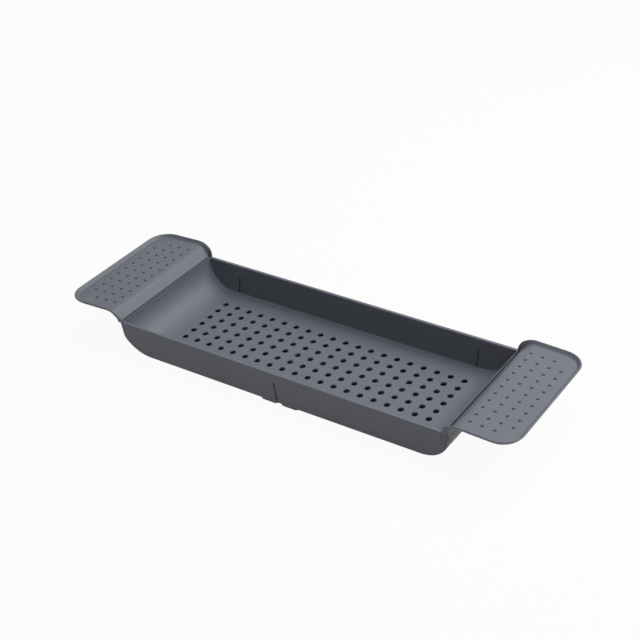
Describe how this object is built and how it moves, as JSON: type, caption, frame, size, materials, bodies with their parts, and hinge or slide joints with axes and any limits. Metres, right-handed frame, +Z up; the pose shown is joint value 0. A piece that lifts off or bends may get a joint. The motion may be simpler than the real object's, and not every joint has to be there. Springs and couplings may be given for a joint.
{
  "type": "bath caddy",
  "caption": "Extendable plastic bath caddy: a perforated draining tray carried by two outer slides with raised wings that rest on the bath's edges and pull out to span its width.",
  "frame": {"origin": "on the surface it stands on, under the middle of the closed caddy", "axes": "+X along the length to the right wing, +Y to the back, +Z up"},
  "size_m": [0.5236, 0.162, 0.0569],
  "materials": {
    "grey_plastic": "fine satin moulded grey plastic",
    "soft_grip": "matte soft grip",
    "pin_plastic": "satin moulded plastic"
  },
  "bodies": {
    "tray": {"perforated_tray": "grey_plastic", "right_front_stop_pin": "pin_plastic", "right_back_stop_pin": "pin_plastic", "left_front_stop_pin": "pin_plastic", "left_back_stop_pin": "pin_plastic"},
    "right_slide": {"right_slide": "grey_plastic", "right_grip_pad": "soft_grip", "right_front_foot": "soft_grip", "right_back_foot": "soft_grip"},
    "left_slide": {"left_slide": "grey_plastic", "left_grip_pad": "soft_grip", "left_front_foot": "soft_grip", "left_back_foot": "soft_grip"}
  },
  "joints": [
    {"name": "right_slide_out", "type": "slide", "parent": "tray", "child": "right_slide", "axis": [1, 0, 0], "range_m": [0, 0.11]},
    {"name": "left_slide_out", "type": "slide", "parent": "tray", "child": "left_slide", "axis": [-1, 0, 0], "range_m": [0, 0.11]}
  ]
}
